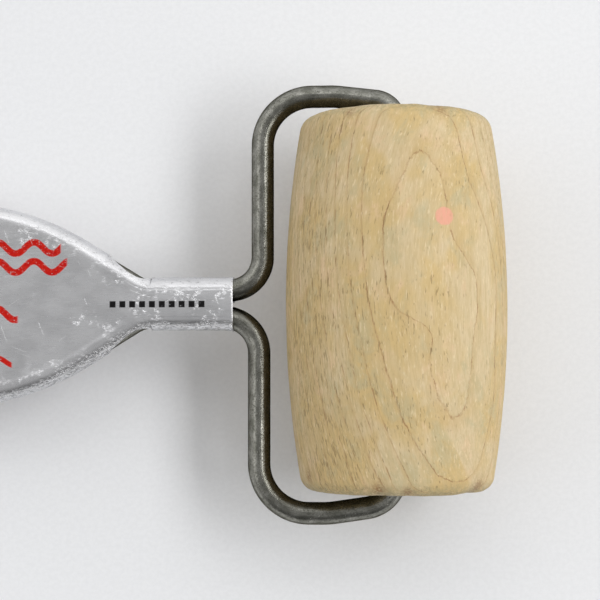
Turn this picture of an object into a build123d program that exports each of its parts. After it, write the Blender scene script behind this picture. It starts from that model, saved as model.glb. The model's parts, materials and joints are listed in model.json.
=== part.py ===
from build123d import *
import math
import os

# A two-ended dough roller. Two bent steel rods run the whole length of the tool, and their
# ends are the axles of a large and a small wooden roller. One stamped aluminium sheet is
# curled round both rods and is the handle.
#
# Everything is drawn in the tool's own plane first: X runs along the handle with the large
# roller's axis at X = 0, Y runs along the roller axes, and both axes lie in Z = 0. The tool
# is then leaned so that both rollers stand on Z = 0. Millimetres throughout.

# ---- driving dimensions -------------------------------------------------------------------

# large roller: a turned wooden barrel
LARGE_LENGTH = 85.7
LARGE_DIAMETER = 50.8
LARGE_END_DIAMETER = 43.2
LARGE_CORNER_RADIUS = 3.7

# small roller
SMALL_LENGTH = 57.2
SMALL_DIAMETER = 25.4
SMALL_END_DIAMETER = 24.2
SMALL_CORNER_RADIUS = 2.2

# holes in the rollers' ends, drilled a quarter of an inch across, with a worn mouth
BORE_DIAMETER = 6.35
BORE_DEPTH = 17.0
BORE_POINT_DEPTH = 1.8
MOUTH_DEPTH = 2.0
MOUTH_WIDTH = 1.8

# steel rod
ROD_DIAMETER = 5.2
ROD_GRIP_DEPTH = 14.0
ROD_TIP_CHAMFER = 0.5
ROD_SPACING = 6.2

# aluminium sheet
SHEET_THICKNESS = 0.5
SHEET_CLEARANCE = 0.02
CURL_ANGLE = 240.0
WRAP_ANGLE = 180.0
SEAM_GAP = 0.6

# handle: a long oval paddle between two necks
HANDLE_MIDDLE_X = -104.8
LARGE_NECK_END_X = -37.5
NECK_LENGTH = 18.8
PADDLE_SLOPE_DEG = 31.5
PADDLE_HALF_WIDTH = 24.05
PADDLE_EDGE_RADIUS = 63.0
FLARE_BEND_RADIUS = 8.5
NOTCH_LENGTH = 12.0
NOTCH_TOP_Z = 2.35
NOTCH_CORNER_RADIUS = 1.6

# yokes. The rods are bent by hand over a block, so the two sides differ a little.
ARM_BEND_RADIUS = 20.0
LARGE_YOKE = {
    "upper": {"leg_x": -30.8, "arm_y": 48.05, "neck_radius": 7.6, "corner_radius": 11.4,
              "arm_run": 14.0, "arm_slope_deg": 7.0, "tip_radius": 5.2},
    "lower": {"leg_x": -31.6, "arm_y": 48.15, "neck_radius": 8.4, "corner_radius": 11.4,
              "arm_run": 15.5, "arm_slope_deg": 8.5, "tip_radius": 8.0},
}
SMALL_YOKE = {
    "upper": {"leg_x": 18.2, "arm_y": 33.4, "neck_radius": 7.6, "corner_radius": 8.5,
              "arm_run": 7.5, "arm_slope_deg": 6.0, "tip_radius": 5.2},
    "lower": {"leg_x": 17.8, "arm_y": 33.5, "neck_radius": 7.2, "corner_radius": 8.8,
              "arm_run": 7.5, "arm_slope_deg": 7.0, "tip_radius": 5.6},
}
SMALL_AXIS_TO_NECK = 24.8

# ---- worked out from them -----------------------------------------------------------------

rod_radius = ROD_DIAMETER / 2
rod_offset = ROD_SPACING / 2
sheet_inner = rod_radius + SHEET_CLEARANCE
sheet_outer = sheet_inner + SHEET_THICKNESS

neck_start_x = LARGE_NECK_END_X - NECK_LENGTH
small_neck_end_x = 2 * HANDLE_MIDDLE_X - LARGE_NECK_END_X
small_neck_start_x = 2 * HANDLE_MIDDLE_X - neck_start_x
small_axis_x = small_neck_end_x - SMALL_AXIS_TO_NECK

# The paddle's edge is one arc between two straight slopes that would meet at an apex.
paddle_rod_radius = PADDLE_EDGE_RADIUS - sheet_outer
slope = math.radians(PADDLE_SLOPE_DEG)
apex_y = PADDLE_HALF_WIDTH - sheet_outer + paddle_rod_radius * (1 / math.cos(slope) - 1)
flare_corner_x = HANDLE_MIDDLE_X + (apex_y - rod_offset) / math.tan(slope)
small_flare_corner_x = 2 * HANDLE_MIDDLE_X - flare_corner_x

# The tool leans down towards its small roller until both rollers touch the ground.
large_radius = LARGE_DIAMETER / 2
small_radius = SMALL_DIAMETER / 2
lean = math.asin((large_radius - small_radius) / -small_axis_x)
lowest_x = small_axis_x * math.cos(lean) - small_radius
middle_x = (lowest_x + large_radius) / 2
middle_y = (LARGE_YOKE["upper"]["arm_y"] - LARGE_YOKE["lower"]["arm_y"]) / 2
STAND = Pos(-middle_x, -middle_y, large_radius) * Rot(0, -math.degrees(lean), 0)


def yoke_points(yoke, axis_x, side, roller_length):
    """Corners of one rod's yoke from its tip to its leg, for an axis at axis_x.

    side is +1 or -1 in Y. The leg stands at leg_x from the axis: negative towards the
    small end, positive towards the large end."""
    towards_leg = math.copysign(1, yoke["leg_x"])
    drop = yoke["arm_run"] * math.tan(math.radians(yoke["arm_slope_deg"]))
    tip_y = roller_length / 2 - ROD_GRIP_DEPTH
    return [
        (axis_x, side * tip_y),
        (axis_x, side * (yoke["arm_y"] - drop)),
        (axis_x + towards_leg * yoke["arm_run"], side * yoke["arm_y"]),
        (axis_x + yoke["leg_x"], side * yoke["arm_y"]),
        (axis_x + yoke["leg_x"], side * rod_offset),
    ]


def yoke_radii(yoke):
    """Bend radii at the corners of yoke_points, leaving out the tip."""
    return [yoke["tip_radius"], ARM_BEND_RADIUS, yoke["corner_radius"], yoke["neck_radius"]]


def paddle_points(side):
    """Corners of a rod's path along the handle, from the large neck to the small one."""
    return [
        (flare_corner_x, side * rod_offset),
        (HANDLE_MIDDLE_X, side * apex_y),
        (small_flare_corner_x, side * rod_offset),
    ]


def paddle_radii():
    """Bend radii at the corners of paddle_points."""
    return [FLARE_BEND_RADIUS, paddle_rod_radius, FLARE_BEND_RADIUS]


# ---- steel rods ---------------------------------------------------------------------------

def frame_rod(name, side):
    """One continuous rod: large axle, yoke, neck, edge of the handle, neck, yoke, axle."""
    large = LARGE_YOKE[name]
    small = SMALL_YOKE[name]
    small_end = yoke_points(small, small_axis_x, side, SMALL_LENGTH)
    points = yoke_points(large, 0, side, LARGE_LENGTH) + paddle_points(side) + small_end[::-1]
    radii = yoke_radii(large) + paddle_radii() + yoke_radii(small)[::-1]
    path = FilletPolyline(*points, radius=radii)
    start = Plane(origin=(*points[0], 0), z_dir=(0, side, 0))
    rod = sweep(start * Circle(rod_radius), path=path)
    tips = rod.faces().filter_by(GeomType.PLANE).edges()
    rod = chamfer(tips, ROD_TIP_CHAMFER)
    expected = math.pi * rod_radius ** 2 * path.length
    print(name, "rod length", round(path.length, 1), "volume ratio", round(rod.volume / expected, 4))
    return rod


# ---- aluminium handle ---------------------------------------------------------------------

def curl_section(angle, side):
    """Cross-section of the sheet curled through an angle, from the top of a rod outwards."""
    outer = CenterArc((0, 0), sheet_outer, 90, -side * angle)
    inner = CenterArc((0, 0), sheet_inner, 90, -side * angle)
    return make_face([outer, inner, Line(outer @ 0, inner @ 0), Line(outer @ 1, inner @ 1)])


def curl(path, angle, side):
    """The sheet's edge curled round a rod that follows a path. The path starts along X."""
    start = Plane(origin=path @ 0, x_dir=(0, 1, 0), z_dir=(1, 0, 0))
    return sweep(start * curl_section(angle, side), path=path)


def between(upper_path, lower_path):
    """The flat outline between two rod paths, closed across their ends."""
    starts = Line(upper_path @ 0, lower_path @ 0)
    ends = Line(upper_path @ 1, lower_path @ 1)
    return make_face([upper_path, lower_path, starts, ends])


def paddle_path(side):
    """The middle of one rod along the paddle, from neck to neck."""
    high = (neck_start_x, side * rod_offset)
    low = (small_neck_start_x, side * rod_offset)
    return FilletPolyline(high, *paddle_points(side), low, radius=paddle_radii())


def paddle():
    """The flat of the handle between the rods' tops, with its two curled edges."""
    upper = paddle_path(1)
    lower = paddle_path(-1)
    flat = Pos(0, 0, sheet_inner) * extrude(between(upper, lower), SHEET_THICKNESS)
    return flat + curl(upper, CURL_ANGLE, 1) + curl(lower, CURL_ANGLE, -1)


def neck_path(start_x, leg_x, radius, side):
    """The middle of one rod through a neck and round into the yoke's leg."""
    leg_end = (leg_x, side * (rod_offset + 2 * radius))
    return FilletPolyline((start_x, side * rod_offset), (leg_x, side * rod_offset), leg_end, radius=radius)


def neck(start_x, end_x, yoke, axis_x):
    """The sheet wrapped right round both rods, with its seam underneath."""
    paths = {}
    for name, side in (("upper", 1), ("lower", -1)):
        bend = yoke[name]
        paths[side] = neck_path(start_x, axis_x + bend["leg_x"], bend["neck_radius"], side)
    outline = between(paths[1], paths[-1])
    top = Pos(0, 0, sheet_inner) * extrude(outline, SHEET_THICKNESS)
    bottom = Pos(0, 0, -sheet_outer) * extrude(outline, SHEET_THICKNESS)
    length = abs(end_x - start_x)
    middle = Pos((start_x + end_x) / 2, 0, 0)
    bottom -= middle * Pos(0, 0, -sheet_outer) * Box(4 * length, SEAM_GAP, 2 * SHEET_THICKNESS)
    room = middle * Box(length, 4 * ROD_SPACING, 4 * sheet_outer)
    walls = [curl(paths[side], WRAP_ANGLE, side) for side in (1, -1)]
    wrap = top & room
    for piece in walls + [bottom]:
        wrap += piece & room
    return wrap


def notch(high_x):
    """Room cut beside a neck, where the edge is trimmed short and the rods show."""
    depth = NOTCH_TOP_Z + 2 * sheet_outer
    outline = RectangleRounded(NOTCH_LENGTH, depth, NOTCH_CORNER_RADIUS)
    middle = Plane.XZ * Pos(high_x - NOTCH_LENGTH / 2, NOTCH_TOP_Z - depth / 2) * outline
    return extrude(middle, PADDLE_HALF_WIDTH, both=True)


def handle_plate():
    """One stamped sheet: flat face, curled edges, trimmed flares and wrapped necks."""
    sheet = paddle()
    sheet -= notch(neck_start_x)
    sheet -= notch(small_neck_start_x + NOTCH_LENGTH)
    sheet += neck(neck_start_x, LARGE_NECK_END_X, LARGE_YOKE, 0)
    sheet += neck(small_neck_start_x, small_neck_end_x, SMALL_YOKE, small_axis_x)
    return sheet


# ---- wooden rollers -----------------------------------------------------------------------

def end_bore(half_length, end):
    """The hole in one end of a roller: worn mouth, drilled wall and drill point."""
    bore_radius = BORE_DIAMETER / 2
    profile = Polyline(
        (0, half_length + 1),
        (bore_radius + MOUTH_WIDTH, half_length + 1),
        (bore_radius + MOUTH_WIDTH, half_length),
        (bore_radius, half_length - MOUTH_DEPTH),
        (bore_radius, half_length - BORE_DEPTH),
        (0, half_length - BORE_DEPTH - BORE_POINT_DEPTH),
        close=True,
    )
    hole = revolve(make_face(profile), Axis.Y)
    return hole if end > 0 else mirror(hole, Plane.XZ)


def roller(length, diameter, end_diameter, corner_radius):
    """A turned roller round the Y axis: crowned side, rounded ends, a bore in each end."""
    half = length / 2
    end_radius = end_diameter / 2
    side = ThreePointArc((end_radius, -half), (diameter / 2, 0), (end_radius, half))
    rest = Polyline((end_radius, half), (0, half), (0, -half), (end_radius, -half))
    profile = make_face([side, rest])
    corners = [vertex for vertex in profile.vertices() if vertex.X > end_radius / 2]
    profile = fillet(corners, corner_radius)
    body = revolve(profile, Axis.Y)
    return body - end_bore(half, 1) - end_bore(half, -1)


def large_roller():
    return roller(LARGE_LENGTH, LARGE_DIAMETER, LARGE_END_DIAMETER, LARGE_CORNER_RADIUS)


def small_roller():
    body = roller(SMALL_LENGTH, SMALL_DIAMETER, SMALL_END_DIAMETER, SMALL_CORNER_RADIUS)
    return Pos(small_axis_x, 0, 0) * body


# ---- write one file for each piece --------------------------------------------------------

PIECES = {
    "frame_rod_upper": frame_rod("upper", 1),
    "frame_rod_lower": frame_rod("lower", -1),
    "handle_plate": handle_plate(),
    "large_roller": large_roller(),
    "small_roller": small_roller(),
}

os.makedirs("parts", exist_ok=True)
for piece_name, piece in PIECES.items():
    export_step(STAND * piece, "parts/" + piece_name + ".step")

places = (("large axis", 0, 0), ("small axis", small_axis_x, 0), ("face", HANDLE_MIDDLE_X, sheet_outer))
for label, x, z in places:
    point = (STAND * Pos(x, 0, z)).position
    print(label, round(point.X, 4), round(point.Y, 4), round(point.Z, 4))
print("lean", round(math.degrees(lean), 4))
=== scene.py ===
import json
import math

import bmesh
import bpy
import numpy as np
from mathutils import Matrix, Vector, noise


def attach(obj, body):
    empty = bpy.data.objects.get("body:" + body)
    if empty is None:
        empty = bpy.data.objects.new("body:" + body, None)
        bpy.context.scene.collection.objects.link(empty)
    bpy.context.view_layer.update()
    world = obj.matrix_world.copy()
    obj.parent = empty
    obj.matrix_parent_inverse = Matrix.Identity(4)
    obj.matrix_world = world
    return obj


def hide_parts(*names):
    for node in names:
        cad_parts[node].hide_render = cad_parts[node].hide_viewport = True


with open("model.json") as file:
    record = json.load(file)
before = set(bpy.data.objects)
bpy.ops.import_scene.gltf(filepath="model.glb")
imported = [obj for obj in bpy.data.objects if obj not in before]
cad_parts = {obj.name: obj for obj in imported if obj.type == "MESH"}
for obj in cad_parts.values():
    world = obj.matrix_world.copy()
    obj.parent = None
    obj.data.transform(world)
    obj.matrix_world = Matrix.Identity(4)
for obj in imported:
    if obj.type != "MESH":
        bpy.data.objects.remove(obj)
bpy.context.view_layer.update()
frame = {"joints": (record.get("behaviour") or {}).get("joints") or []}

# A two-ended dough roller. The shapes below are drawn in the tool's own plane in
# millimetres, with X along the handle and the large roller's axis at X = 0, and are then
# leaned and moved to where the frame's joints say the two axes are.

MM = 0.001

# ---- sizes, in millimetres, the same as in the frame ------------------------------------------

ROD_RADIUS = 2.6
ROD_OFFSET = 3.1
ROD_GRIP_DEPTH = 14.0
ROD_TIP_CHAMFER = 0.5
ARM_BEND_RADIUS = 20.0

SHEET_INNER = 2.62
SHEET_OUTER = 3.12
SEAM_HALF_GAP = 0.3
CURL_DEG = 240.0
WRAP_DEG = 180.0

HANDLE_MIDDLE_X = -104.8
NECK_END_X = -37.5
NECK_LENGTH = 18.8
PADDLE_SLOPE = math.radians(31.5)
PADDLE_HALF_WIDTH = 24.05
PADDLE_EDGE_RADIUS = 63.0
FLARE_BEND_RADIUS = 8.5
NOTCH_LENGTH = 12.0

LARGE = {"length": 85.7, "radius": 25.4, "end_radius": 21.6, "corner": 3.7}
SMALL = {"length": 57.2, "radius": 12.7, "end_radius": 12.1, "corner": 2.2}
BORE_RADIUS = 3.175
BORE_DEPTH = 17.0
MOUTH_DEPTH = 2.0
MOUTH_WIDTH = 1.8
MOUTH_RADIUS = BORE_RADIUS + MOUTH_WIDTH

LARGE_YOKE = {
    "upper": {"leg_x": -30.8, "arm_y": 48.05, "neck_radius": 7.6, "corner_radius": 11.4,
              "arm_run": 14.0, "arm_slope_deg": 7.0, "tip_radius": 5.2},
    "lower": {"leg_x": -31.6, "arm_y": 48.15, "neck_radius": 8.4, "corner_radius": 11.4,
              "arm_run": 15.5, "arm_slope_deg": 8.5, "tip_radius": 8.0},
}
SMALL_YOKE = {
    "upper": {"leg_x": 18.2, "arm_y": 33.4, "neck_radius": 7.6, "corner_radius": 8.5,
              "arm_run": 7.5, "arm_slope_deg": 6.0, "tip_radius": 5.2},
    "lower": {"leg_x": 17.8, "arm_y": 33.5, "neck_radius": 7.2, "corner_radius": 8.8,
              "arm_run": 7.5, "arm_slope_deg": 7.0, "tip_radius": 5.6},
}

neck_start_x = NECK_END_X - NECK_LENGTH
small_neck_end_x = 2 * HANDLE_MIDDLE_X - NECK_END_X
small_neck_start_x = 2 * HANDLE_MIDDLE_X - neck_start_x
paddle_rod_radius = PADDLE_EDGE_RADIUS - SHEET_OUTER
apex_y = PADDLE_HALF_WIDTH - SHEET_OUTER + paddle_rod_radius * (1 / math.cos(PADDLE_SLOPE) - 1)
flare_corner_x = HANDLE_MIDDLE_X + (apex_y - ROD_OFFSET) / math.tan(PADDLE_SLOPE)
small_flare_corner_x = 2 * HANDLE_MIDDLE_X - flare_corner_x

# ---- sizes of wear and detail, which the frame doesn't have -----------------------------------

FACE_RECESS = 0.10          # how far the paddle's flat lies below its curled edges
NECK_CROWN = 0.12           # how far the neck's flat bulges between the rods
WORN_EDGE_WIDTH = 0.25      # the rounding of the sheet's two end edges
WORN_EDGE_DEPTH = 0.09
RING_SPACING = 2.3          # a usual distance between two growth rings
GRAIN_BOW = 0.0035          # how much the grain bows along a roller, in 1/mm

# ---- how finely the meshes are divided --------------------------------------------------------

ROD_SIDES = 40
ROD_STEP = 0.7
SHEET_STEP = 0.55
SHEET_FLAT_POINTS = 34
SHEET_CURL_POINTS = 34
ROLLER_STEP = 0.7
LARGE_ROLLER_SIDES = 240
SMALL_ROLLER_SIDES = 130

# The joints give the two axes, and so the tool's place and lean.
joint_at = {joint["child"]: Vector(joint["pos_m"]) for joint in frame["joints"]}
large_axis = joint_at["large_roller"]
small_axis = joint_at["small_roller"]
along = (large_axis - small_axis).normalized()
up = along.cross(Vector((0, 1, 0)))
small_axis_x = -(large_axis - small_axis).length / MM
PLACE = Matrix.Translation(large_axis) @ Matrix(
    ((along.x, 0, up.x, 0), (along.y, 1, up.y, 0), (along.z, 0, up.z, 0), (0, 0, 0, 1))
) @ Matrix.Scale(MM, 4)


# ---- mesh helpers ----------------------------------------------------------------------------

def add_mesh(name, points, faces, place=PLACE):
    """A mesh piece from points in millimetres in the tool's plane."""
    mesh = bpy.data.meshes.new(name)
    mesh.from_pydata([place @ Vector(point) for point in points], [], faces)
    editable = bmesh.new()
    editable.from_mesh(mesh)
    bmesh.ops.recalc_face_normals(editable, faces=editable.faces)
    editable.to_mesh(mesh)
    editable.free()
    piece = bpy.data.objects.new(name, mesh)
    bpy.context.scene.collection.objects.link(piece)
    return piece


def smooth(piece, angle_deg=35):
    """Smooth shading, with edges sharper than the angle kept crisp."""
    for polygon in piece.data.polygons:
        polygon.use_smooth = True
    piece.data.set_sharp_from_angle(angle=math.radians(angle_deg))


def store(piece, name, values):
    """Keeps one number or one vector for each point, for the piece's material."""
    values = np.asarray(values, dtype=np.float32)
    kind = "FLOAT" if values.ndim == 1 else "FLOAT_VECTOR"
    attribute = piece.data.attributes.new(name, kind, "POINT")
    field = "value" if values.ndim == 1 else "vector"
    attribute.data.foreach_set(field, values.ravel())


def grid_faces(rows, columns, start=0, closed=False):
    """Quads between rows of points. closed joins the last column to the first."""
    faces = []
    for row in range(rows - 1):
        this_row = start + row * columns
        next_row = this_row + columns
        for column in range(columns if closed else columns - 1):
            after = (column + 1) % columns
            faces.append((this_row + column, this_row + after, next_row + after, next_row + column))
    return faces


def bump_noise(x, y, z, size, seed):
    """Smooth noise from about -1 to 1 whose features are about size across."""
    return noise.noise(Vector((x / size + seed, y / size - seed, z / size + 2 * seed)))


# ---- paths of bent rod -----------------------------------------------------------------------

def bent_path(corners, radii, step):
    """Points and directions along straight runs joined by arcs, about step apart."""
    samples = []
    at = Vector(corners[0])
    for index in range(1, len(corners)):
        corner = Vector(corners[index])
        before = (corner - Vector(corners[index - 1])).normalized()
        run_end = corner
        if index < len(corners) - 1:
            after = (Vector(corners[index + 1]) - corner).normalized()
            turn = before.angle_signed(after)
            reach = radii[index - 1] * math.tan(abs(turn) / 2)
            run_end = corner - before * reach
        length = (run_end - at).length
        count = max(1, round(length / step))
        for k in range(count):
            samples.append((at.lerp(run_end, k / count), before))
        if index == len(corners) - 1:
            samples.append((run_end, before))
            return samples
        radius = radii[index - 1]
        side = Vector((before.y, -before.x)) * math.copysign(1, turn)
        centre = run_end + side * radius
        count = max(4, round(radius * abs(turn) / (0.6 * step)))
        for k in range(count):
            swung = Matrix.Rotation(-turn * k / count, 2)
            samples.append((centre + swung @ (-side * radius), swung @ before))
        at = corner + after * reach
    return samples


def yoke_corners(yoke, axis_x, side, roller_length):
    """Corners of one rod's yoke, from its tip to where its leg meets the neck."""
    towards_leg = math.copysign(1, yoke["leg_x"])
    drop = yoke["arm_run"] * math.tan(math.radians(yoke["arm_slope_deg"]))
    return [
        (axis_x, side * (roller_length / 2 - ROD_GRIP_DEPTH)),
        (axis_x, side * (yoke["arm_y"] - drop)),
        (axis_x + towards_leg * yoke["arm_run"], side * yoke["arm_y"]),
        (axis_x + yoke["leg_x"], side * yoke["arm_y"]),
        (axis_x + yoke["leg_x"], side * ROD_OFFSET),
    ]


def yoke_radii(yoke):
    """The bends at a yoke's inner corners, from its tip to the neck."""
    return [yoke["tip_radius"], ARM_BEND_RADIUS, yoke["corner_radius"], yoke["neck_radius"]]


def paddle_corners(side):
    """Corners of one rod's run through the paddle, from the large end to the small."""
    return [
        (flare_corner_x, side * ROD_OFFSET),
        (HANDLE_MIDDLE_X, side * apex_y),
        (small_flare_corner_x, side * ROD_OFFSET),
    ]


PADDLE_RADII = [FLARE_BEND_RADIUS, paddle_rod_radius, FLARE_BEND_RADIUS]


# ---- steel rods ------------------------------------------------------------------------------

def rod_rings(path):
    """(centre, direction, radius, distance along) for each ring of points, with chamfered tips."""
    rings = []
    travelled = 0.0
    for index, (centre, direction) in enumerate(path):
        if index:
            travelled += (centre - path[index - 1][0]).length
        rings.append((centre, direction, ROD_RADIUS, travelled))
    first = rings[0]
    last = rings[-1]
    chamfer = ROD_TIP_CHAMFER
    rings[0] = (first[0] + first[1] * chamfer, first[1], ROD_RADIUS, chamfer)
    rings[-1] = (last[0] - last[1] * chamfer, last[1], ROD_RADIUS, travelled - chamfer)
    rings.insert(0, (first[0], first[1], ROD_RADIUS - chamfer, 0.0))
    rings.append((last[0], last[1], ROD_RADIUS - chamfer, travelled))
    return rings


def make_rod(name, side):
    """One bent rod. Its points also keep their place as if the rod were still straight."""
    large = LARGE_YOKE[name]
    small = SMALL_YOKE[name]
    small_end = yoke_corners(small, small_axis_x, side, SMALL["length"])
    corners = yoke_corners(large, 0, side, LARGE["length"]) + paddle_corners(side) + small_end[::-1]
    radii = yoke_radii(large) + PADDLE_RADII + yoke_radii(small)[::-1]
    rings = rod_rings(bent_path(corners, radii, ROD_STEP))

    points = []
    straight = []
    for centre, direction, radius, reach in rings:
        across = Vector((direction.y, -direction.x, 0))
        for k in range(ROD_SIDES):
            turn = 2 * math.pi * k / ROD_SIDES
            u = math.cos(turn)
            v = math.sin(turn)
            rough = bump_noise(u * 2.6, v * 2.6, reach, 5.0, 3.1 + side)
            fine = bump_noise(u * 2.6, v * 2.6, reach * 0.6, 1.3, 7.7 + side)
            r = radius - 0.012 + 0.010 * rough + 0.004 * fine
            points.append((centre.x + across.x * u * r, centre.y + across.y * u * r, v * r))
            straight.append((u * ROD_RADIUS * side, v * ROD_RADIUS, reach))
    faces = grid_faces(len(rings), ROD_SIDES, closed=True)
    faces.append(tuple(range(ROD_SIDES)))
    faces.append(tuple(reversed(range(len(points) - ROD_SIDES, len(points)))))
    piece = add_mesh("steel_rod_" + name, points, faces)
    smooth(piece)
    store(piece, "straight", straight)
    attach(piece, "frame")
    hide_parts("frame_rod_" + name)
    return piece


# ---- aluminium handle ------------------------------------------------------------------------

def ease(low, high, x):
    """0 below low, 1 above high, and a smooth curve between."""
    t = min(1.0, max(0.0, (x - low) / (high - low)))
    return t * t * (3 - 2 * t)


def edge_turn_and_tail(x):
    """How far the sheet's edge is curled at x, in degrees, and how far it then runs on flat."""
    from_middle = abs(x - HANDLE_MIDDLE_X)
    neck_from = neck_start_x - HANDLE_MIDDLE_X
    notch_from = neck_from - NOTCH_LENGTH
    in_notch = ease(notch_from - 0.5, notch_from + 0.8, from_middle)
    in_neck = ease(neck_from - 0.5, neck_from + 0.3, from_middle)
    peek = math.sin(math.pi * min(1.0, max(0.0, (from_middle - notch_from) / NOTCH_LENGTH))) ** 2
    trimmed = 62.0 - 22.0 * peek
    turn = CURL_DEG + (trimmed - CURL_DEG) * in_notch
    turn += (WRAP_DEG - turn) * in_neck
    tail = (ROD_OFFSET - SEAM_HALF_GAP) * in_neck
    return turn, tail


# Small dents in the flat, each (x, y, radius, depth) in millimetres.
DENTS = [
    (-57.2, -5.0, 1.5, 0.30),
    (-57.4, 5.1, 1.3, 0.18),
    (-86.1, -14.4, 1.5, 0.14),
    (-67.1, -8.9, 1.0, 0.12),
    (-82.5, -9.6, 0.9, 0.04),
    (-79.6, -10.1, 0.7, 0.05),
    (-62.6, 5.2, 0.7, 0.05),
    (-64.3, 3.9, 0.6, 0.04),
    (-119.0, 8.0, 2.2, 0.12),
    (-131.5, -6.0, 1.4, 0.10),
    (-142.0, 2.5, 1.6, 0.09),
    (-151.8, -4.9, 1.4, 0.22),
]


def face_height(x, y):
    """How far the flat of the handle is out of true at a point."""
    height = 0.025 * bump_noise(x, y, 0, 17.0, 1.7) + 0.006 * bump_noise(x, y, 0, 5.0, 4.4)
    for dent_x, dent_y, radius, depth in DENTS:
        away = ((x - dent_x) ** 2 + (y - dent_y) ** 2) / radius ** 2
        if away < 9:
            height -= depth * math.exp(-away)
    return height


def handle_stations():
    """Places along the handle: x, and each side's rod centre and outward direction."""
    stations = []
    halves = {}
    for side, name in ((1, "upper"), (-1, "lower")):
        halves[side] = {}
        for end, yoke, axis_x, start_x, end_x in (
            ("large", LARGE_YOKE, 0, neck_start_x, NECK_END_X),
            ("small", SMALL_YOKE, small_axis_x, small_neck_start_x, small_neck_end_x),
        ):
            leg_x = axis_x + yoke[name]["leg_x"]
            radius = yoke[name]["neck_radius"]
            sign = math.copysign(1, end_x - start_x)
            bend_from = leg_x - sign * radius
            count = round(abs(end_x - start_x) / SHEET_STEP)
            run = []
            for k in range(count + 1):
                x = end_x + (start_x - end_x) * k / count
                past = max(0.0, (x - bend_from) * sign)
                y = ROD_OFFSET + radius - math.sqrt(radius ** 2 - past ** 2)
                run.append((x, side * y, 0.0, float(side)))
            halves[side][end] = run
        curve = bent_path([(neck_start_x, side * ROD_OFFSET)] + paddle_corners(side)
                          + [(small_neck_start_x, side * ROD_OFFSET)], PADDLE_RADII, SHEET_STEP)
        halves[side]["paddle"] = [
            (point.x, point.y, side * direction.y, -side * direction.x)
            for point, direction in curve[1:-1]
        ]
    for part in ("large", "paddle", "small"):
        runs = (halves[1][part], halves[-1][part])
        if part == "small":
            runs = (runs[0][::-1], runs[1][::-1])
        stations += list(zip(*runs))
    return stations


def sheet_row(station, worn=0.0):
    """Four rows across the handle at one station.

    They are the outer skin's points, the inner skin's points, the points of the sheet laid out
    flat, and the distances to the curl. worn is how far the outer skin is worn down."""
    outer_row = []
    inner_row = []
    flat_row = []
    edge_row = []
    for side, (x, y, out_x, out_y) in ((1, station[0]), (-1, station[1])):
        on_paddle = ease(3.6, 8.0, abs(y))
        turn_deg, tail = edge_turn_and_tail(x)
        arc = SHEET_OUTER * math.radians(turn_deg)
        outer_half = []
        inner_half = []
        flat_half = []
        edge_half = []
        for k in range(SHEET_FLAT_POINTS):
            share = k / SHEET_FLAT_POINTS
            here = y * share
            from_rod = abs(y) - abs(here)
            lift = face_height(x, here) * ease(0.0, 2.5, from_rod)
            lift -= FACE_RECESS * on_paddle * ease(0.2, 1.7, from_rod)
            lift += NECK_CROWN * (1 - on_paddle) * (1 - share ** 2)
            outer_half.append((x, here, SHEET_OUTER + lift - worn))
            inner_half.append((x, here, SHEET_INNER + lift))
            flat_half.append((x, here, 0))
            edge_half.append(from_rod)
        for k in range(SHEET_CURL_POINTS + 1):
            reach = (arc + tail) * k / SHEET_CURL_POINTS
            angle = math.pi / 2 - min(reach, arc) / SHEET_OUTER
            run_on = max(0.0, reach - arc)
            dent = 0.035 * bump_noise(x, y, reach, 1.6, 9.0) - 0.035
            outer_radius = SHEET_OUTER + dent * 0.6 - worn
            for radius, half in ((outer_radius, outer_half), (SHEET_INNER, inner_half)):
                out = radius * math.cos(angle) - run_on
                half.append((x + out_x * out, y + out_y * out, radius * math.sin(angle)))
            flat_half.append((x, y + side * reach, reach))
            edge_half.append(0.0)
        for row, half in ((outer_row, outer_half), (inner_row, inner_half), (flat_row, flat_half),
                          (edge_row, edge_half)):
            row += half[::-1] if side == 1 else half[1:]
    return outer_row, inner_row, flat_row, edge_row


def moved_along(station, distance):
    """The same station a little further along the handle."""
    return tuple((x + distance, *rest) for x, *rest in station)


def make_handle():
    """One sheet: outer skin, inner skin and the cut edges that join them."""
    stations = handle_stations()
    rows = [sheet_row(stations[0], WORN_EDGE_DEPTH)]
    rows.append(sheet_row(moved_along(stations[0], -WORN_EDGE_WIDTH)))
    rows += [sheet_row(station) for station in stations[1:-1]]
    rows.append(sheet_row(moved_along(stations[-1], WORN_EDGE_WIDTH)))
    rows.append(sheet_row(stations[-1], WORN_EDGE_DEPTH))
    width = len(rows[0][0])
    outer = [point for row in rows for point in row[0]]
    inner = [point for row in rows for point in row[1]]
    unrolled = [point for row in rows for point in row[2]]
    to_edge = [distance for row in rows for distance in row[3]]
    offset = len(outer)
    count = len(rows)
    faces = grid_faces(count, width) + grid_faces(count, width, start=offset)
    skin_faces = len(faces)
    for row in range(count - 1):
        a = row * width
        faces.append((a, a + width, a + width + offset, a + offset))
        b = a + width - 1
        faces.append((b + width, b, b + offset, b + width + offset))
    last = (count - 1) * width
    for column in range(width - 1):
        faces.append((column + 1, column, column + offset, column + 1 + offset))
        a = last + column
        faces.append((a, a + 1, a + 1 + offset, a + offset))
    piece = add_mesh("handle_sheet", outer + inner, faces)
    for polygon in piece.data.polygons[skin_faces:]:
        polygon.material_index = 1
    smooth(piece, 40)
    store(piece, "unrolled", unrolled + unrolled)
    store(piece, "to_edge", to_edge + to_edge)
    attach(piece, "frame")
    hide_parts("handle_plate")
    return piece


# ---- wooden rollers --------------------------------------------------------------------------

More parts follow.
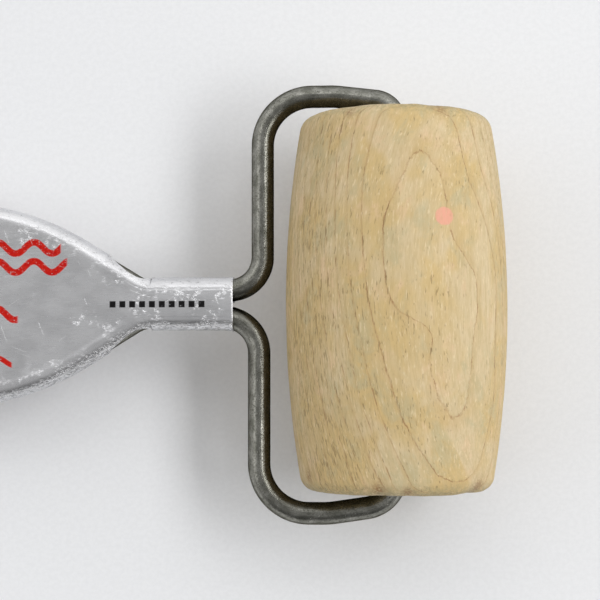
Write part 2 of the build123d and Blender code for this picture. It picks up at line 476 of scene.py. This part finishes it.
def roller_profile(sizes):
    """(radius, y, end) down one side of a roller: bore, end face, side, end face, bore.

    end is 1 on end grain and 0 on the side."""
    half = sizes["length"] / 2
    sag = sizes["radius"] - sizes["end_radius"]
    crown = (half ** 2 + sag ** 2) / (2 * sag)
    corner = sizes["corner"]
    lean = math.asin(half / crown)

    def side_radius(y):
        return sizes["radius"] - (crown - math.sqrt(crown ** 2 - y ** 2))

    profile = []
    floor_y = half - BORE_DEPTH
    profile.append((0.02, floor_y - 1.7, 1.0))
    profile.append((BORE_RADIUS * 0.5, floor_y - 0.9, 1.0))
    for k in range(9):
        profile.append((BORE_RADIUS, floor_y + (half - MOUTH_DEPTH - floor_y) * k / 8, 1.0))
    for k in range(1, 5):
        t = k / 4
        profile.append((BORE_RADIUS + MOUTH_WIDTH * t ** 1.4, half - MOUTH_DEPTH * (1 - t), 1.0))
    centre_r = side_radius(half - corner) - corner / math.cos(lean) + 0.02
    centre_y = half - corner
    count = max(6, round((centre_r - MOUTH_RADIUS) / ROLLER_STEP))
    for k in range(1, count):
        profile.append((MOUTH_RADIUS + (centre_r - MOUTH_RADIUS) * k / count, half, 1.0))
    turn_to = math.pi / 2 - lean * (half - corner) / half
    count = 12
    for k in range(count + 1):
        angle = turn_to * k / count
        end = 1 - ease(0.25, 0.8, k / count)
        profile.append((centre_r + corner * math.sin(angle), centre_y + corner * math.cos(angle), end))
    top_y = profile[-1][1]
    count = round(top_y / ROLLER_STEP)
    for k in range(1, count + 1):
        y = top_y * (1 - k / count)
        profile.append((side_radius(y), y, 0.0))
    mirrored = [(r, -y, end) for r, y, end in profile[:-1]]
    return profile + mirrored[::-1]


# The growth rings are wide arcs round a pith far below the roller. bark_deg gives the angle
# from the top to the bark in the middle, twist how it changes along Y, and tilt how the rings
# climb along Y. The first ring lies at outer_ring, towards the bark from the roller's axis, and
# the others follow inward by the gaps in turn. wobble is the unevenness of real growth. ripples
# raise or lower the rings near a place, as (x, y, width, length, rise).
LARGE_WOOD = {
    "bark_deg": 20.6, "twist": -0.29, "tilt": 0.0156, "pith_depth": 70.0,
    "outer_ring": 23.9, "gaps": (2.4, 1.9, 1.8, 1.5, 2.2, 1.6, 2.0), "wobble": 0.3, "seed": 2.3,
    "ripples": [
        (13.0, 14.0, 5.5, 9.0, -1.1),
        (16.0, 28.0, 6.0, 9.0, -0.9),
        (-4.0, 13.0, 4.0, 9.0, 0.5),
        (-3.0, 2.0, 4.0, 7.0, 0.45),
        (3.5, -8.5, 6.0, 4.2, -1.25),
        (2.5, -16.0, 4.5, 5.0, -0.5),
        (18.0, -9.0, 5.0, 11.0, -0.7),
        (8.0, -27.0, 6.0, 5.0, 0.25),
    ],
}
SMALL_WOOD = {
    "bark_deg": -30.0, "twist": 0.4, "tilt": -0.02, "pith_depth": 50.0,
    "outer_ring": 11.3, "gaps": (1.9, 2.3, 2.0, 1.7), "wobble": 0.3, "seed": 8.1,
    "ripples": [(-5.0, 6.0, 4.0, 6.0, 0.4)],
}


def ring_levels(wood):
    """Where the growth rings lie, in millimetres towards the bark, lowest first."""
    lowest = -2 * wood["outer_ring"]
    levels = [wood["outer_ring"] + wood["gaps"][-1], wood["outer_ring"]]
    while levels[-1] > lowest:
        levels.append(levels[-1] - wood["gaps"][(len(levels) - 2) % len(wood["gaps"])])
    return levels[::-1]


def pith_frame(x, y, z, wood):
    """The bark's direction at y, and a point's place outward from the pith and across it."""
    facing = math.radians(wood["bark_deg"] + wood["twist"] * y)
    outward = x * math.sin(facing) + z * math.cos(facing) + wood["pith_depth"]
    across = x * math.cos(facing) - z * math.sin(facing)
    return facing, outward, across


def ring_height(x, y, z, wood):
    """How far a point of a roller lies towards the bark, with the wobble of real growth."""
    _, outward, across = pith_frame(x, y, z, wood)
    height = math.hypot(outward, across) - wood["pith_depth"] + wood["tilt"] * y
    seed = wood["seed"]
    height += wood["wobble"] * bump_noise(x, y * 0.55, z, 9.0, seed)
    height += 0.3 * wood["wobble"] * bump_noise(x, y * 0.7, z, 3.2, seed + 5)
    if z > 0:
        for ripple_x, ripple_y, wide, long, rise in wood["ripples"]:
            away = ((x - ripple_x) / wide) ** 2 + ((y - ripple_y) / long) ** 2
            height += rise * math.exp(-away)
    return height


def ring_slant(x, y, z, wood):
    """Sine of the angle between a roller's surface and its rings, not let near zero."""
    facing, outward, across = pith_frame(x, y, z, wood)
    radius = math.hypot(x, z)
    along_normal = (outward * (x * math.sin(facing) + z * math.cos(facing))
                    + across * (x * math.cos(facing) - z * math.sin(facing)))
    cosine = along_normal / max(radius * math.hypot(outward, across), 0.001)
    return math.sqrt(max(0.03, 1 - cosine ** 2))


# Chips and dents in the large roller's wood: (angle from the top in degrees, y, radius, depth).
LARGE_CHIPS = [
    (-14.0, -41.2, 2.1, 0.42),
    (3.0, -41.8, 1.5, 0.30),
    (24.0, 41.6, 2.4, 0.22),
    (-31.0, 41.0, 1.8, 0.20),
    (52.0, -41.0, 2.6, 0.30),
    (-66.0, -39.0, 2.4, 0.25),
    (140.0, -40.0, 3.0, 0.40),
    (200.0, 41.0, 2.8, 0.35),
    (165.0, 10.0, 3.5, 0.18),
    (-120.0, -16.0, 3.0, 0.15),
    (95.0, 22.0, 2.6, 0.14),
]
SMALL_CHIPS = [
    (10.0, 27.2, 1.4, 0.25),
    (-40.0, -27.0, 1.6, 0.28),
    (120.0, 26.8, 1.5, 0.22),
    (170.0, -27.0, 1.4, 0.2),
]


# A dab of paint on a roller's top: (x, y, radius). The small roller has none: below zero, the
# radius keeps every point outside it.
LARGE_DAB = (9.0, 17.6, 2.05)
NO_DAB = (0.0, 0.0, -9.0)
FAR_FROM_DAB = 9.0


def wear_at(x, y, z, radius, to_end, wood, chips):
    """How far a roller's outside is worn in at a point, and how strongly the point is chipped."""
    inward = 0.06 + 0.05 * bump_noise(x, y, z, 11.0, wood["seed"])
    inward -= 0.03 * bump_noise(x, y * 0.3, z, 1.8, wood["seed"] + 2)
    knocked = 1 - ease(1.0, 5.0, to_end)
    inward += knocked * (0.06 + 0.09 * bump_noise(x, y, z, 2.6, wood["seed"] + 4))
    chip = 0.0
    for chip_deg, chip_y, size, depth in chips:
        chip_turn = math.radians(chip_deg)
        chip_x = radius * math.sin(chip_turn)
        chip_z = radius * math.cos(chip_turn)
        away = ((x - chip_x) ** 2 + (y - chip_y) ** 2 + (z - chip_z) ** 2) / size ** 2
        if away < 6:
            ragged = 1 + 0.5 * bump_noise(x, y, z, 0.9, 6.0)
            inward += depth * math.exp(-away) * ragged
            chip = max(chip, math.exp(-2 * away) * min(1, depth / 0.3))
    return inward, chip


def make_roller(name, sizes, wood, chips, dab, centre, around):
    """A turned roller, slightly out of true, with knocked edges."""
    profile = roller_profile(sizes)
    levels = ring_levels(wood)
    half = sizes["length"] / 2
    points = []
    rings = []
    ring_gaps = []
    grain = []
    ends = []
    to_ends = []
    chipped = []
    for radius, y, end in profile:
        for k in range(around):
            turn = 2 * math.pi * k / around
            out_x = math.sin(turn)
            out_z = math.cos(turn)
            r = radius
            inward = 0.0
            chip = 0.0
            to_end = half - abs(y)
            if radius > MOUTH_RADIUS:
                inward, chip = wear_at(radius * out_x, y, radius * out_z, radius, to_end, wood, chips)
                r = radius - inward * (1 - 0.5 * end)
            y_in = y - math.copysign(inward, y) * end
            x = r * out_x
            z = r * out_z
            points.append((x, y_in, z))
            height = ring_height(x, y, z, wood)
            rings.append(np.interp(height, levels, range(len(levels))))
            slant = ring_slant(x, y, z, wood) if end < 1 else 1.0
            ring_gaps.append(RING_SPACING / slant)
            grain.append((x - GRAIN_BOW * y * y, y, z))
            ends.append(end)
            to_ends.append(to_end)
            chipped.append(chip)
    faces = grid_faces(len(profile), around, closed=True)
    faces.append(tuple(reversed(range(around))))
    faces.append(tuple(range(len(points) - around, len(points))))
    piece = add_mesh(name + "_wood", points, faces, Matrix.Translation(centre) @ Matrix.Scale(MM, 4))
    smooth(piece, 50)
    store(piece, "ring", rings)
    store(piece, "grain", grain)
    store(piece, "ring_gap", ring_gaps)
    store(piece, "end_grain", ends)
    store(piece, "to_end", to_ends)
    store(piece, "chip", chipped)
    dab_x, dab_y, dab_radius = dab
    store(piece, "from_dab", [
        math.hypot(x - dab_x, y - dab_y) - dab_radius if z > 0 else FAR_FROM_DAB
        for x, y, z in points
    ])
    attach(piece, name)
    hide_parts(name)
    return piece


# ---- materials -------------------------------------------------------------------------------

def srgb(red, green, blue):
    """A colour from everyday 0 to 255 numbers, as the linear colour that shaders use."""
    linear = [
        c / 3294.6 if c <= 10.31 else ((c / 255 + 0.055) / 1.055) ** 2.4
        for c in (red, green, blue)
    ]
    return (*linear, 1.0)


class Shader:
    """Builds the nodes of one material. A value is a number, a colour or another node's output."""

    def __init__(self, name):
        self.material = bpy.data.materials.new(name)
        self.material.use_nodes = True
        self.tree = self.material.node_tree
        self.surface = self.tree.nodes["Principled BSDF"]

    def feed(self, socket, value):
        """Links a node's output to the socket, or sets the socket to a plain value."""
        if isinstance(value, bpy.types.NodeSocket):
            self.tree.links.new(value, socket)
        else:
            socket.default_value = value

    def node(self, kind, values, out=0, **settings):
        """Adds a node, feeds its inputs and gives one of its outputs."""
        made = self.tree.nodes.new("ShaderNode" + kind)
        for name, value in settings.items():
            setattr(made, name, value)
        for socket, value in values.items():
            self.feed(made.inputs[socket], value)
        return made.outputs[out]

    def set(self, **values):
        """Feeds the surface shader itself. An underscore stands for a space in a socket's name."""
        for name, value in values.items():
            self.feed(self.surface.inputs[name.replace("_", " ")], value)

    def stored(self, name, out="Vector"):
        return self.node("Attribute", {}, out, attribute_name=name)

    def parts(self, vector):
        split = self.tree.nodes.new("ShaderNodeSeparateXYZ")
        self.feed(split.inputs[0], vector)
        return tuple(split.outputs)

    def maths(self, operation, *values):
        return self.node("Math", dict(enumerate(values)), operation=operation)

    def stretch(self, vector, x, y, z):
        return self.node("Mapping", {"Vector": vector, "Scale": (x, y, z)})

    def noise(self, at, scale, detail=2.0, roughness=0.5, distortion=0.0):
        values = {"Vector": at, "Scale": scale, "Detail": detail,
                  "Roughness": roughness, "Distortion": distortion}
        return self.node("TexNoise", values)

    def fade(self, value, low, high, to_low=0.0, to_high=1.0):
        """A smooth step of the value between low and high."""
        values = {"Value": value, "From Min": low, "From Max": high,
                  "To Min": to_low, "To Max": to_high}
        return self.node("MapRange", values, interpolation_type="SMOOTHSTEP")

    def mix(self, factor, first, second):
        """The first colour where the factor is 0, and the second where it is 1."""
        values = {0: factor, 6: first, 7: second}
        return self.node("Mix", values, 2, data_type="RGBA")

    def bump(self, height, depth_mm, strength):
        values = {"Height": height, "Distance": depth_mm * MM, "Strength": strength}
        return self.node("Bump", values)


def wood_material(name):
    """Old bare maple. The piece's stored values say where its rings, ends, chips and paint are."""
    s = Shader(name)
    grain = s.stored("grain")
    ring = s.stored("ring", "Fac")
    ring_gap = s.stored("ring_gap", "Fac")
    end = s.stored("end_grain", "Fac")
    chip = s.stored("chip", "Fac")

    # Tone: broad patches of ochre, grey and pink, then streaks and fibres along the grain.
    patch = s.noise(s.stretch(grain, 0.085, 0.05, 0.085), 1.0, 3.0, 0.6, 0.4)
    cloud = s.noise(s.stretch(grain, 0.16, 0.11, 0.16), 1.0, 4.0, 0.65, 0.5)
    streak = s.noise(s.stretch(grain, 0.8, 0.06, 0.8), 1.0, 3.0, 0.6)
    fibre = s.noise(s.stretch(grain, 2.9, 0.3, 2.9), 1.0, 3.0, 0.65)
    pale = s.noise(s.stretch(grain, 2.4, 0.42, 2.4), 1.0, 2.0, 0.6, 0.2)
    flat_sawn = s.fade(ring_gap, 2.6, 5.5)
    colour = s.mix(s.fade(patch, 0.38, 0.6), srgb(208, 188, 150), srgb(203, 176, 122))
    colour = s.mix(s.fade(cloud, 0.5, 0.68, 0.0, 0.75), colour, srgb(184, 173, 136))
    colour = s.mix(s.fade(cloud, 0.46, 0.3, 0.0, 0.7), colour, srgb(218, 188, 150))
    colour = s.mix(s.fade(streak, 0.35, 0.68, 0.0, 0.5), colour, srgb(190, 168, 122))
    fibre_depth = s.fade(flat_sawn, 0.0, 1.0, 0.6, 0.28)
    colour = s.mix(s.fade(fibre, 0.44, 0.66, 0.0, fibre_depth), colour, srgb(172, 148, 102))
    colour = s.mix(s.fade(pale, 0.56, 0.74, 0.0, 0.6), colour, srgb(226, 206, 166))

    # Growth rings: a thin broken brown line, and wood a little darker just before it.
    wobble = s.noise(s.stretch(grain, 1.3, 0.8, 1.3), 1.0, 4.0, 0.7)
    ring = s.maths("ADD", ring, s.maths("MULTIPLY", s.maths("SUBTRACT", wobble, 0.5), 0.13))
    into_ring = s.maths("FRACT", ring)
    nearer_ring = s.maths("MINIMUM", into_ring, s.maths("SUBTRACT", 1.0, into_ring))
    to_line = s.maths("MULTIPLY", nearer_ring, ring_gap)
    breaks = s.noise(s.stretch(grain, 0.5, 0.2, 0.5), 1.0, 4.0, 0.7)
    unbroken = s.fade(flat_sawn, 0.0, 1.0, 0.0, 0.35)
    whole = s.fade(breaks, 0.46, 0.62, unbroken, 1.0)
    line = s.maths("MULTIPLY", s.fade(to_line, 0.28, 0.06), whole)
    line = s.maths("MULTIPLY", line, s.fade(flat_sawn, 0.0, 1.0, 0.6, 1.0))
    late = s.maths("MULTIPLY", s.fade(into_ring, 0.7, 1.0), s.fade(into_ring, 0.0, 0.1, 0.0, 0.3))
    colour = s.mix(late, colour, srgb(190, 160, 110))
    colour = s.mix(s.maths("MULTIPLY", line, 0.66), colour, srgb(142, 98, 56))

    # Pores: short dark flecks along the grain, thicker in some patches and near the rings.
    fleck = s.noise(s.stretch(grain, 2.7, 0.38, 2.7), 1.0, 2.0, 0.6, 0.3)
    crowd = s.noise(s.stretch(grain, 0.09, 0.05, 0.09), 1.0, 2.0)
    thick = s.fade(crowd, 0.35, 0.65, -0.03, 0.045)
    thick = s.maths("ADD", thick, s.fade(flat_sawn, 1.0, 0.0, -0.01, 0.03))
    thick = s.maths("ADD", thick, s.fade(to_line, 0.7, 0.1, 0.0, 0.04))
    flecks = s.fade(s.maths("ADD", fleck, thick), 0.65, 0.71)
    colour = s.mix(s.maths("MULTIPLY", flecks, 0.5), colour, srgb(126, 104, 62))

    # Grime in the end grain, at the knocked corners and in the chips.
    to_end = s.fade(s.stored("to_end", "Fac"), 3.6, 0.4)
    grime = s.noise(s.stretch(grain, 0.9, 0.9, 0.9), 1.0, 5.0, 0.7)
    grimy = s.maths("MULTIPLY", to_end, s.fade(grime, 0.38, 0.62, 0.1, 0.7))
    colour = s.mix(grimy, colour, srgb(156, 146, 108))
    pocks = s.noise(s.stretch(grain, 2.4, 2.4, 2.4), 1.0, 3.0, 0.6)
    open_ends = s.maths("MULTIPLY", end, s.fade(pocks, 0.5, 0.66, 0.0, 0.6))
    colour = s.mix(open_ends, colour, srgb(128, 108, 70))
    dirty_chips = s.maths("MULTIPLY", chip, s.fade(pocks, 0.36, 0.55, 0.1, 0.8))
    colour = s.mix(dirty_chips, colour, srgb(132, 92, 56))

    # A round dab of pink paint.
    uneven = s.maths("MULTIPLY", s.maths("SUBTRACT", pocks, 0.5), 0.5)
    ragged = s.maths("ADD", s.stored("from_dab", "Fac"), uneven)
    dab = s.maths("MULTIPLY", s.fade(ragged, 0.15, -0.25), s.fade(fibre, 0.4, 0.68, 0.9, 0.65))
    colour = s.mix(dab, colour, srgb(228, 160, 138))

    height = s.maths("SUBTRACT", s.maths("MULTIPLY", fibre, -0.6), flecks)
    height = s.maths("SUBTRACT", height, s.maths("MULTIPLY", line, 0.6))
    height = s.maths("SUBTRACT", height, s.maths("MULTIPLY", pocks, s.maths("ADD", to_end, chip)))
    s.set(
        Base_Color=colour,
        Roughness=s.fade(fibre, 0.3, 0.7, 0.5, 0.66),
        Normal=s.bump(height, 0.06, 0.9),
        Specular_IOR_Level=0.35,
    )
    return s.material


def steel_material():
    """Plain steel wire, mottled from years of damp, with painted shade darkening the side next to the
    roller.
    """
    s = Shader("worn_steel")
    straight = s.stored("straight")
    mottle = s.noise(s.stretch(straight, 0.55, 0.55, 0.3), 1.0, 5.0, 0.65, 0.4)
    speckle = s.noise(s.stretch(straight, 3.0, 3.0, 2.2), 1.0, 4.0, 0.7)
    drawn = s.noise(s.stretch(straight, 4.5, 4.5, 0.12), 1.0, 3.0, 0.6)
    colour = s.mix(s.fade(mottle, 0.32, 0.68), srgb(112, 112, 104), srgb(154, 153, 146))
    colour = s.mix(s.fade(speckle, 0.48, 0.66, 0.0, 0.65), colour, srgb(78, 77, 70))
    colour = s.mix(s.fade(drawn, 0.5, 0.75, 0.0, 0.4), colour, srgb(172, 171, 167))
    pits = s.fade(s.noise(s.stretch(straight, 1.9, 1.9, 1.5), 1.0, 2.0, 0.6), 0.66, 0.72)
    colour = s.mix(s.maths("MULTIPLY", pits, 0.7), colour, srgb(64, 61, 54))
    # Painted shade: the side of each rod that faces the roller is darkened, standing in for the
    # roller's shade and its dark reflection in the steel.
    outward = s.parts(straight)[0]
    colour = s.mix(s.fade(outward, 0.4, -2.0, 0.0, 0.75), colour, srgb(58, 57, 50))
    height = s.maths("SUBTRACT", s.maths("ADD", s.maths("MULTIPLY", speckle, 0.6), drawn), pits)
    s.set(
        Base_Color=colour,
        Metallic=1.0,
        Roughness=s.fade(speckle, 0.3, 0.7, 0.16, 0.34),
        Specular_Tint=srgb(112, 110, 104),
        Normal=s.bump(height, 0.04, 0.9),
    )
    return s.material


# Wavy red strokes, each (middle y, left x, right x, swing, wave length, half width).
RED_STROKES = [
    (13.0, -132.5, -77.5, 1.3, 8.6, 0.8),
    (8.6, -131.0, -76.0, 1.3, 8.6, 0.8),
    (-2.4, -122.0, -87.5, 1.3, 8.6, 0.8),
    (-13.4, -126.0, -88.8, 0.9, 8.6, 0.6),
]
# A row of black dashes: (first x, last x, middle y, half width, pitch).
BLACK_DASHES = (-66.2, -43.2, -0.2, 0.75, 2.3)


def print_marks(s, x, y):
    """Worn paint: wavy red strokes across the middle, and a row of small black dashes.

    Gives the red and the black as two masks. They stand in for the old lettering."""
    red = 0.0
    for middle_y, left_x, right_x, swing, length, half_width in RED_STROKES:
        turn = s.maths("MULTIPLY", x, 2 * math.pi / length)
        swung = s.maths("SINE", turn)
        centre = s.maths("ADD", s.maths("MULTIPLY", swung, swing), middle_y)
        slope = s.maths("MULTIPLY", s.maths("COSINE", turn), swing * 2 * math.pi / length)
        steep = s.maths("SQRT", s.maths("ADD", s.maths("MULTIPLY", slope, slope), 1.0))
        off = s.maths("DIVIDE", s.maths("ABSOLUTE", s.maths("SUBTRACT", y, centre)), steep)
        stroke = s.fade(off, half_width + 0.12, half_width - 0.12)
        stroke = s.maths("MULTIPLY", stroke, s.fade(x, right_x + 0.3, right_x - 0.3))
        stroke = s.maths("MULTIPLY", stroke, s.fade(x, left_x - 0.3, left_x + 0.3))
        red = s.maths("MAXIMUM", red, stroke)

    first_x, last_x, middle_y, half_width, pitch = BLACK_DASHES
    run = s.maths("FRACT", s.maths("DIVIDE", s.maths("SUBTRACT", x, first_x), pitch))
    black = s.maths("MULTIPLY", s.fade(run, 0.04, 0.1), s.fade(run, 0.72, 0.66))
    off = s.maths("ABSOLUTE", s.maths("SUBTRACT", y, middle_y))
    black = s.maths("MULTIPLY", black, s.fade(off, half_width + 0.08, half_width - 0.08))
    black = s.maths("MULTIPLY", black, s.fade(x, first_x, first_x + 0.1))
    black = s.maths("MULTIPLY", black, s.fade(x, last_x, last_x - 0.1))
    return red, black


# Fans of scratches, each (turn in radians, scale across, scale along, how rare).
SCRATCH_FANS = [
    (0.35, 1.4, 0.06, 0.735),
    (-0.6, 1.7, 0.08, 0.745),
    (1.2, 2.2, 0.1, 0.75),
]


def scratch_mask(s, at):
    """Three fans of long thin scratches."""
    scratch = 0.0
    for turn, across, along_x, rare in SCRATCH_FANS:
        turned = s.node("VectorRotate", {"Vector": at, "Angle": turn}, rotation_type="Z_AXIS")
        lines = s.noise(s.stretch(turned, along_x, across, 0.2), 1.0, 1.0, 0.4, 0.1)
        scratch = s.maths("MAXIMUM", scratch, s.fade(lines, rare, rare + 0.02))
    return scratch


def ding_mask(s, at, x):
    """Small irregular facets, crowded near the curls and on the flares."""
    near_curl = s.fade(s.stored("to_edge", "Fac"), 6.0, 0.3)
    crowd = s.noise(s.stretch(at, 0.16, 0.16, 0.16), 1.0, 3.0, 0.6)
    from_middle = s.maths("ABSOLUTE", s.maths("SUBTRACT", x, HANDLE_MIDDLE_X))
    handled = s.fade(from_middle, 20.0, 44.0, 0.0, 0.03)
    crowd = s.maths("ADD", s.maths("ADD", crowd, s.maths("MULTIPLY", near_curl, 0.13)), handled)
    crowded = s.fade(crowd, 0.57, 0.74)
    bent = s.node("TexNoise", {"Vector": at, "Scale": 1.1, "Detail": 2.0}, "Color")
    bent = s.node("VectorMath", {0: bent, 1: (1.6, 1.6, 1.6)}, operation="MULTIPLY")
    bent = s.node("VectorMath", {0: at, 1: bent}, operation="ADD")
    facet = s.node("TexVoronoi", {"Vector": bent, "Scale": 0.85, "Randomness": 1.0}, feature="F1")
    rough_facet = s.noise(at, 3.2, 3.0, 0.6)
    ding = s.maths("MULTIPLY", s.fade(facet, 0.7, 0.0), crowded)
    return s.maths("MULTIPLY", ding, s.fade(rough_facet, 0.35, 0.65, 0.2, 1.0))


def aluminium_material():
    """Mill-finish sheet: brushed lengthwise, scratched, pitted along the curls, with old print."""
    s = Shader("worn_aluminium")
    at = s.stored("unrolled")
    x, y, reach = s.parts(at)
    brushed = s.noise(s.stretch(at, 0.22, 7.0, 7.0), 1.0, 4.0, 0.65)
    cloudy = s.noise(s.stretch(at, 0.12, 0.18, 0.18), 1.0, 3.0, 0.55)
    on_curl = s.fade(reach, 0.2, 2.0)
    scratch = scratch_mask(s, at)
    ding = ding_mask(s, at, x)
    pits = s.noise(s.stretch(at, 1.5, 1.5, 1.5), 1.0, 4.0, 0.7)
    pit_from = s.fade(on_curl, 0.0, 1.0, 0.7, s.fade(y, -3.0, 3.0, 0.5, 0.6))
    pitted = s.fade(s.maths("SUBTRACT", pits, pit_from), 0.0, 0.08)

    colour = s.mix(s.fade(cloudy, 0.35, 0.65), srgb(210, 210, 212), srgb(226, 226, 228))
    colour = s.mix(s.fade(brushed, 0.35, 0.7, 0.0, 0.3), colour, srgb(192, 192, 194))
    colour = s.mix(s.maths("MULTIPLY", pitted, 0.5), colour, srgb(118, 121, 124))
    colour = s.mix(s.maths("MULTIPLY", scratch, 0.4), colour, srgb(240, 240, 240))

    red, black = print_marks(s, x, y)
    worn = s.noise(s.stretch(at, 0.9, 1.4, 1.4), 1.0, 5.0, 0.7)
    red = s.maths("MULTIPLY", red, s.fade(worn, 0.64, 0.58))
    red = s.maths("MULTIPLY", red, s.fade(scratch, 0.8, 0.2))
    black = s.maths("MULTIPLY", black, s.fade(worn, 0.68, 0.6))
    red_tone = s.mix(s.fade(pits, 0.35, 0.7), srgb(176, 6, 8), srgb(196, 40, 20))
    colour = s.mix(red, colour, red_tone)
    colour = s.mix(black, colour, srgb(18, 17, 18))
    painted = s.maths("MAXIMUM", red, black)

    height = s.maths("MULTIPLY", brushed, 0.25)
    height = s.maths("SUBTRACT", height, s.maths("MULTIPLY", pitted, 2.2))
    height = s.maths("SUBTRACT", height, s.maths("MULTIPLY", ding, 2.8))
    height = s.maths("SUBTRACT", height, s.maths("MULTIPLY", scratch, 0.5))
    s.set(
        Base_Color=colour,
        Metallic=s.maths("SUBTRACT", 1.0, painted),
        Roughness=s.fade(brushed, 0.3, 0.7, 0.24, 0.36),
        Normal=s.bump(height, 0.03, 0.9),
        Specular_IOR_Level=0.15,
    )
    return s.material


def cut_edge_material():
    """The sheared edge of the sheet: brighter than its faces, with fine marks across it."""
    s = Shader("cut_aluminium")
    at = s.stored("unrolled")
    sheared = s.noise(s.stretch(at, 6.0, 6.0, 1.0), 1.0, 3.0, 0.6)
    s.set(
        Base_Color=s.mix(s.fade(sheared, 0.35, 0.65), srgb(214, 214, 214), srgb(242, 242, 242)),
        Metallic=1.0,
        Roughness=s.fade(sheared, 0.3, 0.7, 0.3, 0.42),
        Normal=s.bump(sheared, 0.02, 0.6),
    )
    return s.material


def floor_material():
    """Pale matt paper."""
    s = Shader("pale_paper")
    at = s.node("TexCoord", {}, "Object")
    tooth = s.noise(at, 900.0, 3.0, 0.6)
    s.set(
        Base_Color=s.mix(s.fade(tooth, 0.3, 0.7), srgb(229, 230, 232), srgb(233, 234, 236)),
        Roughness=0.9,
        Specular_IOR_Level=0.1,
        Normal=s.bump(tooth, 0.03, 0.3),
    )
    return s.material


# ---- the pieces ------------------------------------------------------------------------------

steel = steel_material()
for rod_name, rod_side in (("upper", 1), ("lower", -1)):
    make_rod(rod_name, rod_side).data.materials.append(steel)

handle = make_handle()
handle.data.materials.append(aluminium_material())
handle.data.materials.append(cut_edge_material())

maple = wood_material("old_maple")
large_roller = make_roller(
    "large_roller", LARGE, LARGE_WOOD, LARGE_CHIPS, LARGE_DAB, large_axis, LARGE_ROLLER_SIDES)
large_roller.data.materials.append(maple)
small_roller = make_roller(
    "small_roller", SMALL, SMALL_WOOD, SMALL_CHIPS, NO_DAB, small_axis, SMALL_ROLLER_SIDES)
small_roller.data.materials.append(maple)


# ---- floor, light and camera: these sizes are in metres --------------------------------------

FLOOR_HALF = 3.0
floor_mesh = bpy.data.meshes.new("floor")
floor_corners = [(-FLOOR_HALF, -FLOOR_HALF, 0), (FLOOR_HALF, -FLOOR_HALF, 0),
                 (FLOOR_HALF, FLOOR_HALF, 0), (-FLOOR_HALF, FLOOR_HALF, 0)]
floor_mesh.from_pydata(floor_corners, [], [(0, 1, 2, 3)])
floor = bpy.data.objects.new("floor", floor_mesh)
bpy.context.scene.collection.objects.link(floor)
floor.data.materials.append(floor_material())


def soft_light(name, place, wide, deep, watts):
    """A softbox that faces the large roller's middle. place is measured from there."""
    light = bpy.data.lights.new(name, "AREA")
    light.shape = "RECTANGLE"
    light.size = wide
    light.size_y = deep
    light.energy = watts
    lamp = bpy.data.objects.new(name, light)
    bpy.context.scene.collection.objects.link(lamp)
    lamp.location = large_axis + Vector(place)
    towards = -Vector(place)
    lamp.rotation_mode = "QUATERNION"
    lamp.rotation_quaternion = towards.to_track_quat("-Z", "Y")


soft_light("right_softbox", place=(0.98, 0.09, 1.30), wide=1.45, deep=0.50, watts=13.8)
soft_light("left_softbox", place=(-1.29, 0.15, 1.11), wide=1.45, deep=0.80, watts=3.7)
soft_light("far_strip", place=(0.0, 0.75, 1.07), wide=1.2, deep=0.10, watts=0.5)


SIDEWAYS_GAIN = 0.12        # how much brighter the light from +X is


def studio_light(low, middle, high, horizon):
    """Soft light all round, brighter from the far side (+Y), from +X, and near the horizon."""
    world = bpy.data.worlds.new("studio")
    bpy.context.scene.world = world
    world.use_nodes = True
    tree = world.node_tree
    direction = tree.nodes.new("ShaderNodeTexCoord").outputs["Generated"]
    split = tree.nodes.new("ShaderNodeSeparateXYZ")
    tree.links.new(direction, split.inputs[0])

    def scaled(axis, times, plus):
        """One part of the direction, times a number, plus another."""
        made = tree.nodes.new("ShaderNodeMath")
        made.operation = "MULTIPLY_ADD"
        made.inputs[1].default_value = times
        made.inputs[2].default_value = plus
        tree.links.new(split.outputs[axis], made.inputs[0])
        return made.outputs[0]

    def ramp(place, stops):
        """A grey that changes smoothly from stop to stop, each (position, level)."""
        made = tree.nodes.new("ShaderNodeValToRGB")
        made.color_ramp.interpolation = "EASE"
        marks = made.color_ramp.elements
        marks[0].position = stops[0][0]
        marks[1].position = stops[-1][0]
        for position, level in stops[1:-1]:
            marks.new(position)
        for mark, (position, level) in zip(marks, stops):
            mark.color = (level, level, level, 1.0)
        tree.links.new(place, made.inputs["Fac"])
        return made.outputs["Color"]

    near_to_far = [(0.18, low), (0.34, middle), (0.60, middle), (0.78, high)]
    horizon_to_top = [(0.15, 1.0), (0.42, 0.0)]
    sky = ramp(scaled("Y", 0.5, 0.5), near_to_far)
    blend = tree.nodes.new("ShaderNodeMix")
    blend.data_type = "RGBA"
    tree.links.new(ramp(scaled("Z", 1.0, 0.0), horizon_to_top), blend.inputs[0])
    tree.links.new(sky, blend.inputs[6])
    blend.inputs[7].default_value = (horizon, horizon, horizon, 1.0)
    background = tree.nodes["Background"]
    tree.links.new(blend.outputs[2], background.inputs["Color"])
    tree.links.new(scaled("X", SIDEWAYS_GAIN, 1.0), background.inputs["Strength"])


studio_light(low=0.18, middle=0.45, high=1.17, horizon=0.95)
bpy.context.scene.view_settings.view_transform = "Standard"

# The camera looks almost straight down. Its place is measured from the large roller's middle,
# in millimetres.
CAMERA_FROM_ROLLER = Vector((-20.8, -16.7, 340.3))
CAMERA_PITCH_DEG = -2.93
CAMERA_YAW_DEG = -0.22
CAMERA_ROLL_DEG = 0.05
CAMERA_LENS = 88.9
SENSOR_WIDTH = 36.0

camera_data = bpy.data.cameras.new("camera")
camera_data.lens = CAMERA_LENS
camera_data.sensor_width = SENSOR_WIDTH
camera_data.clip_start = 0.01
camera = bpy.data.objects.new("camera", camera_data)
bpy.context.scene.collection.objects.link(camera)
camera.location = large_axis + CAMERA_FROM_ROLLER * MM
camera.rotation_mode = "ZYX"
camera.rotation_euler = [-math.radians(a) for a in (CAMERA_PITCH_DEG, CAMERA_YAW_DEG, CAMERA_ROLL_DEG)]
bpy.context.scene.camera = camera

bpy.context.view_layer.update()
